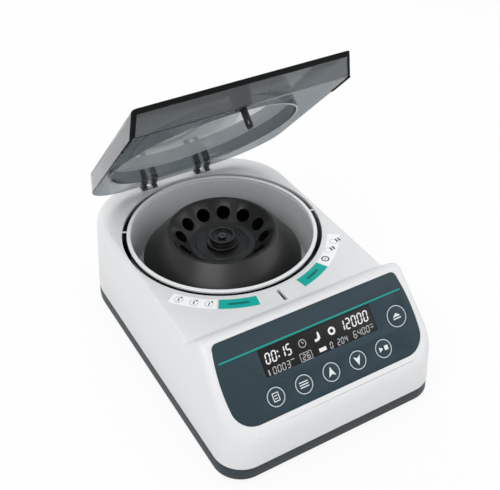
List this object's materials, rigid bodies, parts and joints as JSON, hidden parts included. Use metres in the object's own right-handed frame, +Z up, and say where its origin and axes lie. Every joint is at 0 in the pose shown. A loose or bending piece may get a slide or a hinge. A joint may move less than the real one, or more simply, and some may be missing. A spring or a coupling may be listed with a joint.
{
  "type": "bench micro-centrifuge",
  "caption": "Compact bench centrifuge with a hinged smoked lid, a round chamber, a fixed-angle rotor for micro tubes and a sloping key panel.",
  "frame": {"origin": "on the bench, under the middle of the overall box", "axes": "+Z up, the control panel faces -Y, +X to the right as one faces the panel"},
  "size_m": [0.1872, 0.2799, 0.2378],
  "materials": {
    "white_shell": "satin white moulded plastic",
    "slate_plastic": "dark slate moulded plastic",
    "panel_film": "dark blue-grey printed panel film",
    "window_black": "black display window",
    "key_film": "dark keys with pale rings",
    "board_green": "green circuit board",
    "bowl_grey": "grey satin metal bowl",
    "rim_white": "white rim moulding",
    "rotor_black": "black hard-anodised",
    "steel": "plain steel",
    "aluminium": "plain aluminium",
    "rubber": "black rubber",
    "black_plastic": "black moulded plastic",
    "smoke": "smoked clear plastic"
  },
  "bodies": {
    "housing": {"base_tray": "slate_plastic", "bowl_rim": "rim_white", "case_screw_1": "steel", "case_screw_2": "steel", "case_screw_3": "steel", "case_screw_4": "steel", "chamber_bowl": "bowl_grey", "control_panel": "panel_film", "damper_1": "rubber", "damper_2": "rubber", "damper_3": "rubber", "damper_4": "rubber", "display_module": "black_plastic", "display_window": "window_black", "drive_board": "board_green", "foot_1": "rubber", "foot_2": "rubber", "foot_3": "rubber", "foot_4": "rubber", "guard_ring": "steel", "heat_sink": "aluminium", "hinge_bracket_left": "steel", "hinge_bracket_right": "steel", "hinge_pin_left": "steel", "hinge_pin_right": "steel", "inlet_socket": "black_plastic", "lock_housing": "black_plastic", "motor_housing": "aluminium", "motor_plate": "steel", "panel_board": "board_green", "power_supply": "aluminium", "power_switch_frame": "black_plastic", "upper_shell": "white_shell"},
    "lid": {"lid_shell": "smoke", "lid_front_trim": "black_plastic", "lid_ring": "smoke", "latch_mount": "black_plastic", "latch_hook": "steel"},
    "spinning_rotor": {"rotor": "rotor_black", "rotor_knob": "rotor_black", "clamp_screw": "steel", "motor_shaft": "steel"},
    "key_program_cap": {"key_program": "key_film"},
    "key_menu_cap": {"key_menu": "key_film"},
    "key_up_cap": {"key_up": "key_film"},
    "key_down_cap": {"key_down": "key_film"},
    "key_start_stop_cap": {"key_start_stop": "key_film"},
    "key_open_cap": {"key_open": "key_film"},
    "rocker": {"power_rocker": "black_plastic"},
    "bolt": {"latch_bolt": "steel"}
  },
  "joints": [
    {"name": "lid_hinge", "type": "hinge", "parent": "housing", "child": "lid", "pos_m": [0, 0.124, 0.0788], "axis": [-1, 0, 0], "range_deg": [-46.2, 13.8]},
    {"name": "rotor_spin", "type": "hinge", "parent": "housing", "child": "spinning_rotor", "pos_m": [0, 0.0375, 0.08], "axis": [0, 0, 1], "continuous": true},
    {"name": "key_program_press", "type": "slide", "parent": "housing", "child": "key_program_cap", "axis": [0, 0.7133, -0.7009], "range_m": [0, 0.0006], "stiffness_N_per_m": 1500},
    {"name": "key_menu_press", "type": "slide", "parent": "housing", "child": "key_menu_cap", "axis": [0, 0.7133, -0.7009], "range_m": [0, 0.0006], "stiffness_N_per_m": 1500},
    {"name": "key_up_press", "type": "slide", "parent": "housing", "child": "key_up_cap", "axis": [0, 0.7133, -0.7009], "range_m": [0, 0.0006], "stiffness_N_per_m": 1500},
    {"name": "key_down_press", "type": "slide", "parent": "housing", "child": "key_down_cap", "axis": [0, 0.7133, -0.7009], "range_m": [0, 0.0006], "stiffness_N_per_m": 1500},
    {"name": "key_start_stop_press", "type": "slide", "parent": "housing", "child": "key_start_stop_cap", "axis": [0, 0.7133, -0.7009], "range_m": [0, 0.0006], "stiffness_N_per_m": 1500},
    {"name": "key_open_press", "type": "slide", "parent": "housing", "child": "key_open_cap", "axis": [0, 0.7133, -0.7009], "range_m": [0, 0.0006], "stiffness_N_per_m": 1500},
    {"name": "power_switch_tilt", "type": "hinge", "parent": "housing", "child": "rocker", "pos_m": [-0.02, 0.1348, 0.033], "axis": [-1, 0, 0], "range_deg": [0, 16]},
    {"name": "latch_bolt_slide", "type": "slide", "parent": "housing", "child": "bolt", "axis": [-1, 0, 0], "range_m": [0, 0.0042]}
  ]
}
